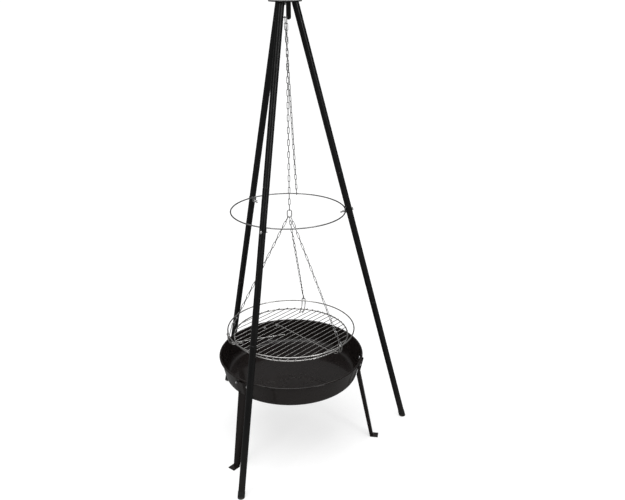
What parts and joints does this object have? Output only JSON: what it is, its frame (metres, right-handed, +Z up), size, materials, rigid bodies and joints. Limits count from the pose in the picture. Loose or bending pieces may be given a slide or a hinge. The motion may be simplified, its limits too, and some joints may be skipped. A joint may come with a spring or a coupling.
{
  "type": "campfire tripod grate",
  "caption": "Plug-together tripod with a stabiliser ring, a round wire cooking grate hung on chains, and a free-standing enamelled fire bowl on folded sheet legs.",
  "frame": {"origin": "on the ground, midway between the three feet of the tripod", "axes": "+Z up; +X towards the right-hand leg of the tripod; +Y towards the rear"},
  "size_m": [0.763, 0.8434, 1.6681],
  "materials": {
    "black_coated_steel": "satin black powder coat",
    "foot_cap_plastic": "matt black moulded plastic",
    "plated_ring": "bright plated wire",
    "zinc_chain": "bright zinc plating",
    "zinc_hardware": "zinc plating",
    "chromed_wire": "chrome-plated wire",
    "enamelled_steel": "glossy brown-black enamel",
    "bright_bolts": "bright zinc plating"
  },
  "bodies": {
    "tripod": {"head_plate": "black_coated_steel", "chain_hook": "black_coated_steel", "head_bolt": "zinc_hardware", "head_nut": "zinc_hardware", "stabiliser_ring": "plated_ring", "ring_bolts": "zinc_hardware", "tail_chain": "zinc_chain", "tail_hook": "zinc_chain", "right_head_socket": "black_coated_steel", "right_leg_upper_tube": "black_coated_steel", "right_leg_middle_tube": "black_coated_steel", "right_leg_lower_tube": "black_coated_steel", "right_foot_cap": "foot_cap_plastic", "right_wing_nut": "zinc_hardware", "rear_head_socket": "black_coated_steel", "rear_leg_upper_tube": "black_coated_steel", "rear_leg_middle_tube": "black_coated_steel", "rear_leg_lower_tube": "black_coated_steel", "rear_foot_cap": "foot_cap_plastic", "rear_wing_nut": "zinc_hardware", "front_head_socket": "black_coated_steel", "front_leg_upper_tube": "black_coated_steel", "front_leg_middle_tube": "black_coated_steel", "front_leg_lower_tube": "black_coated_steel", "front_foot_cap": "foot_cap_plastic", "front_wing_nut": "zinc_hardware"},
    "top_link": {"top_link": "zinc_chain"},
    "second_link": {"second_link": "zinc_chain"},
    "chain": {"main_chain": "zinc_chain"},
    "grate": {"joint_ring": "zinc_chain", "grate_ring": "chromed_wire", "guard_ring": "chromed_wire", "grate_bars": "chromed_wire", "right_harness_chain": "zinc_chain", "right_harness_hook": "zinc_chain", "right_support_arm": "chromed_wire", "rear_harness_chain": "zinc_chain", "rear_harness_hook": "zinc_chain", "rear_support_arm": "chromed_wire", "left_harness_chain": "zinc_chain", "left_harness_hook": "zinc_chain", "left_support_arm": "chromed_wire"},
    "fire_bowl": {"fire_bowl": "enamelled_steel", "bowl_bolts": "bright_bolts", "bowl_nuts": "zinc_hardware", "right_bowl_leg": "enamelled_steel", "rear_bowl_leg": "enamelled_steel", "left_bowl_leg": "enamelled_steel"}
  },
  "joints": [
    {"name": "swing_fore", "type": "hinge", "parent": "tripod", "child": "top_link", "pos_m": [0.005, 0, 1.609], "axis": [1, 0, 0], "range_deg": [-2, 2]},
    {"name": "swing_side", "type": "hinge", "parent": "top_link", "child": "second_link", "pos_m": [0.005, 0, 1.58767], "axis": [0, 1, 0], "range_deg": [-2, 2]},
    {"name": "spin", "type": "hinge", "parent": "second_link", "child": "chain", "pos_m": [0.005, 0, 1.56574], "axis": [0, 0, 1], "range_deg": [-180, 180]},
    {"name": "lift", "type": "slide", "parent": "chain", "child": "grate", "axis": [0, 0, 1], "range_m": [0, 0.12], "deforming": ["main_chain"]},
    {"name": "bowl_slide", "type": "slide", "parent": "tripod", "child": "fire_bowl", "axis": [0.5, -0.866, 0], "range_m": [0, 0.65]}
  ]
}
